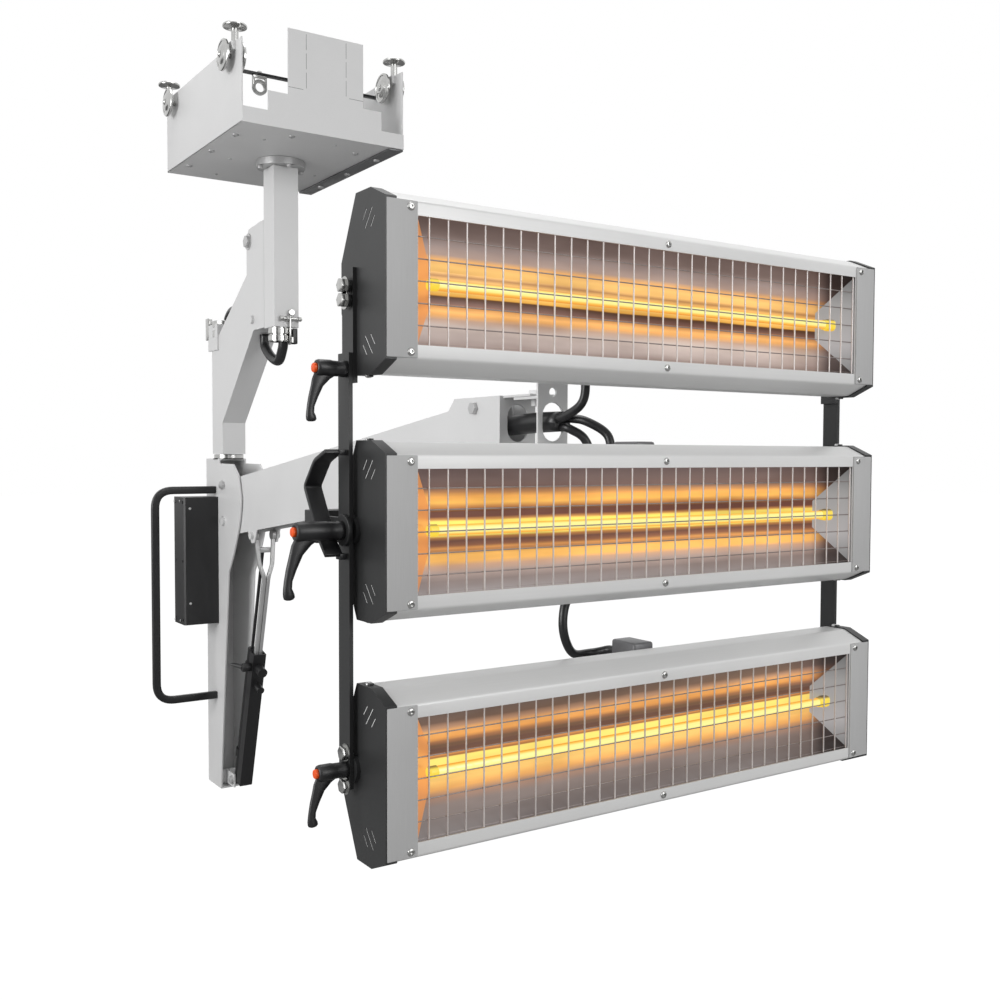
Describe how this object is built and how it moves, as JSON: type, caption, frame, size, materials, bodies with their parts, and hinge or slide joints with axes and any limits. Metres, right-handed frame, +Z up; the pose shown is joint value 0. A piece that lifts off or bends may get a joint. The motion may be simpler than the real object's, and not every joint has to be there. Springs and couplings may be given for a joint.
{
  "type": "ceiling rail infrared drying lamp",
  "caption": "Infrared lamp with long cassettes stacked on a sprung arm that hangs from a ceiling rail trolley.",
  "frame": {"origin": "on the column's axis, at the height where the rail wheels touch the rail", "axes": "+Z up, +X to the right along the cassettes, -Y the way the cassettes shine"},
  "size_m": [0.9577, 1.7315, 1.741],
  "materials": {
    "light_paint": "light grey paint, semi-gloss",
    "bright_zinc": "bright zinc plate",
    "black_plastic": "matte black, slightly grained",
    "black_rubber": "matte black hose and cable jacket",
    "dark_steel": "dark grey paint",
    "casing_aluminium": "satin aluminium, pale",
    "anthracite_paint": "anthracite powder coat",
    "guard_steel": "bright steel wire",
    "glowing_tube": "quartz tube, glowing yellow when lit",
    "orange_plastic": "orange-red push button"
  },
  "bodies": {
    "trolley": {"trolley_box": "light_paint", "front_tongue_plate": "light_paint", "cable_rail": "dark_steel", "swivel_flange": "bright_zinc"},
    "column": {"column_tube": "light_paint", "crank_beam": "light_paint", "foot_clamp": "bright_zinc", "column_hose": "black_rubber", "crank_hose": "black_rubber"},
    "post": {"post_frame": "light_paint", "grab_handle": "black_plastic", "control_box": "black_plastic", "upper_pivot_bolt": "bright_zinc"},
    "arm": {"arm_beam": "light_paint"},
    "link": {"level_link": "bright_zinc"},
    "gas_spring_low": {"gas_cylinder": "black_plastic", "strut_tube": "dark_steel"},
    "gas_spring_high": {"gas_rod": "bright_zinc", "strut_rod": "bright_zinc"},
    "strut_clamp": {"strut_lever": "black_plastic"},
    "wrist": {"wrist_bracket": "light_paint", "wrist_bolt": "bright_zinc", "cable_bundle": "black_rubber"},
    "yoke": {"head_bracket": "light_paint", "yoke_beam": "anthracite_paint", "cable_top": "black_rubber", "cable_middle": "black_rubber", "cable_bottom": "black_rubber"},
    "head": {"left_bar": "dark_steel", "right_bar": "dark_steel", "tilt_handle": "black_plastic", "middle_housing": "casing_aluminium", "middle_left_cap": "anthracite_paint", "middle_right_cap": "anthracite_paint", "middle_guard": "guard_steel", "middle_lamp": "glowing_tube"},
    "top_cassette": {"top_housing": "casing_aluminium", "top_left_cap": "anthracite_paint", "top_right_cap": "anthracite_paint", "top_guard": "guard_steel", "top_lamp": "glowing_tube"},
    "bottom_cassette": {"bottom_housing": "casing_aluminium", "bottom_left_cap": "anthracite_paint", "bottom_right_cap": "anthracite_paint", "bottom_guard": "guard_steel", "bottom_lamp": "glowing_tube"},
    "wheel_front_left": {"rail_wheel_front_left": "bright_zinc"},
    "guide_front_left": {"guide_roller_front_left": "bright_zinc"},
    "wheel_front_right": {"rail_wheel_front_right": "bright_zinc"},
    "guide_front_right": {"guide_roller_front_right": "bright_zinc"},
    "wheel_rear_left": {"rail_wheel_rear_left": "bright_zinc"},
    "guide_rear_left": {"guide_roller_rear_left": "bright_zinc"},
    "wheel_rear_right": {"rail_wheel_rear_right": "bright_zinc"},
    "guide_rear_right": {"guide_roller_rear_right": "bright_zinc"},
    "top_clamp": {"top_lever": "black_plastic"},
    "top_push_button": {"top_lever_button": "orange_plastic"},
    "middle_clamp": {"middle_lever": "black_plastic"},
    "middle_push_button": {"middle_lever_button": "orange_plastic"},
    "bottom_clamp": {"bottom_lever": "black_plastic"},
    "bottom_push_button": {"bottom_lever_button": "orange_plastic"}
  },
  "joints": [
    {"name": "wheel_front_left_spin", "type": "hinge", "parent": "trolley", "child": "wheel_front_left", "pos_m": [-0.1835, -0.185, 0.032], "axis": [1, 0, 0], "continuous": true},
    {"name": "guide_front_left_spin", "type": "hinge", "parent": "trolley", "child": "guide_front_left", "pos_m": [-0.1835, -0.2055, 0.055], "axis": [0, 0, 1], "continuous": true},
    {"name": "wheel_front_right_spin", "type": "hinge", "parent": "trolley", "child": "wheel_front_right", "pos_m": [0.1835, -0.185, 0.032], "axis": [1, 0, 0], "continuous": true},
    {"name": "guide_front_right_spin", "type": "hinge", "parent": "trolley", "child": "guide_front_right", "pos_m": [0.1835, -0.2055, 0.055], "axis": [0, 0, 1], "continuous": true},
    {"name": "wheel_rear_left_spin", "type": "hinge", "parent": "trolley", "child": "wheel_rear_left", "pos_m": [-0.1835, 0.185, 0.032], "axis": [1, 0, 0], "continuous": true},
    {"name": "guide_rear_left_spin", "type": "hinge", "parent": "trolley", "child": "guide_rear_left", "pos_m": [-0.1835, 0.2305, 0.055], "axis": [0, 0, 1], "continuous": true},
    {"name": "wheel_rear_right_spin", "type": "hinge", "parent": "trolley", "child": "wheel_rear_right", "pos_m": [0.1835, 0.185, 0.032], "axis": [1, 0, 0], "continuous": true},
    {"name": "guide_rear_right_spin", "type": "hinge", "parent": "trolley", "child": "guide_rear_right", "pos_m": [0.1835, 0.2305, 0.055], "axis": [0, 0, 1], "continuous": true},
    {"name": "column_swivel", "type": "hinge", "parent": "trolley", "child": "column", "pos_m": [0, 0, -0.1153], "axis": [0, 0, 1], "range_deg": [-170, 170]},
    {"name": "post_swivel", "type": "hinge", "parent": "column", "child": "post", "pos_m": [0, 0.351, -0.785], "axis": [0, 0, 1], "range_deg": [-150, 150]},
    {"name": "arm_lift", "type": "hinge", "parent": "post", "child": "arm", "pos_m": [0, 0.29, -0.863], "axis": [-1, 0, 0], "range_deg": [-18, 12]},
    {"name": "level_link_follow", "type": "hinge", "parent": "post", "child": "link", "pos_m": [0, 0.29, -0.955], "axis": [-1, 0, 0], "range_deg": [-18, 12]},
    {"name": "wrist_level", "type": "hinge", "parent": "arm", "child": "wrist", "pos_m": [0, -0.887, -0.71], "axis": [-1, 0, 0], "range_deg": [-12, 18], "deforming": ["cable_bundle"]},
    {"name": "strut_foot", "type": "hinge", "parent": "post", "child": "gas_spring_low", "pos_m": [0, 0.296, -1.62], "axis": [1, 0, 0], "range_deg": [-2.2, 1.5]},
    {"name": "strut_slide", "type": "slide", "parent": "gas_spring_low", "child": "gas_spring_high", "axis": [0, -0.2777, 0.9607], "range_m": [-0.0635, 0.0425]},
    {"name": "strut_clamp_turn", "type": "hinge", "parent": "gas_spring_low", "child": "strut_clamp", "pos_m": [-0.016, 0.16607, -1.30735], "axis": [1, 0, 0], "range_deg": [-35, 15]},
    {"name": "wrist_swivel", "type": "hinge", "parent": "wrist", "child": "yoke", "pos_m": [0, -1.009, -0.767], "axis": [0, 0, 1], "range_deg": [-60, 60], "deforming": ["cable_bundle"]},
    {"name": "head_tilt", "type": "hinge", "parent": "yoke", "child": "head", "pos_m": [0, -1.231, -0.875], "axis": [1, 0, 0], "range_deg": [-15, 40], "deforming": ["cable_top", "cable_middle", "cable_bottom"]},
    {"name": "top_cassette_tilt", "type": "hinge", "parent": "head", "child": "top_cassette", "pos_m": [0, -1.231, -0.686], "axis": [1, 0, 0], "range_deg": [-15, 40], "deforming": ["cable_top"]},
    {"name": "bottom_cassette_tilt", "type": "hinge", "parent": "head", "child": "bottom_cassette", "pos_m": [0, -1.231, -1.159], "axis": [1, 0, 0], "range_deg": [-25, 40], "deforming": ["cable_bottom"]},
    {"name": "top_lever_turn", "type": "hinge", "parent": "head", "child": "top_clamp", "pos_m": [-0.45, -1.231, -0.686], "axis": [1, 0, 0], "range_deg": [-60, 10]},
    {"name": "top_button_press", "type": "slide", "parent": "top_clamp", "child": "top_push_button", "axis": [1, 0, 0], "range_m": [0, 0.003], "stiffness_N_per_m": 400},
    {"name": "middle_lever_turn", "type": "hinge", "parent": "yoke", "child": "middle_clamp", "pos_m": [-0.45, -1.231, -0.875], "axis": [1, 0, 0], "range_deg": [-60, 10]},
    {"name": "middle_button_press", "type": "slide", "parent": "middle_clamp", "child": "middle_push_button", "axis": [1, 0, 0], "range_m": [0, 0.003], "stiffness_N_per_m": 400},
    {"name": "bottom_lever_turn", "type": "hinge", "parent": "head", "child": "bottom_clamp", "pos_m": [-0.45, -1.231, -1.159], "axis": [1, 0, 0], "range_deg": [-60, 10]},
    {"name": "bottom_button_press", "type": "slide", "parent": "bottom_clamp", "child": "bottom_push_button", "axis": [1, 0, 0], "range_m": [0, 0.003], "stiffness_N_per_m": 400}
  ],
  "couplings": [
    {"joint": "level_link_follow", "follows": "arm_lift", "ratio": 1},
    {"joint": "wrist_level", "follows": "arm_lift", "ratio": -1},
    {"joint": "strut_foot", "follows": "arm_lift", "ratio": 0.1125},
    {"joint": "strut_slide", "follows": "arm_lift", "m_per_rad": 0.198}
  ]
}
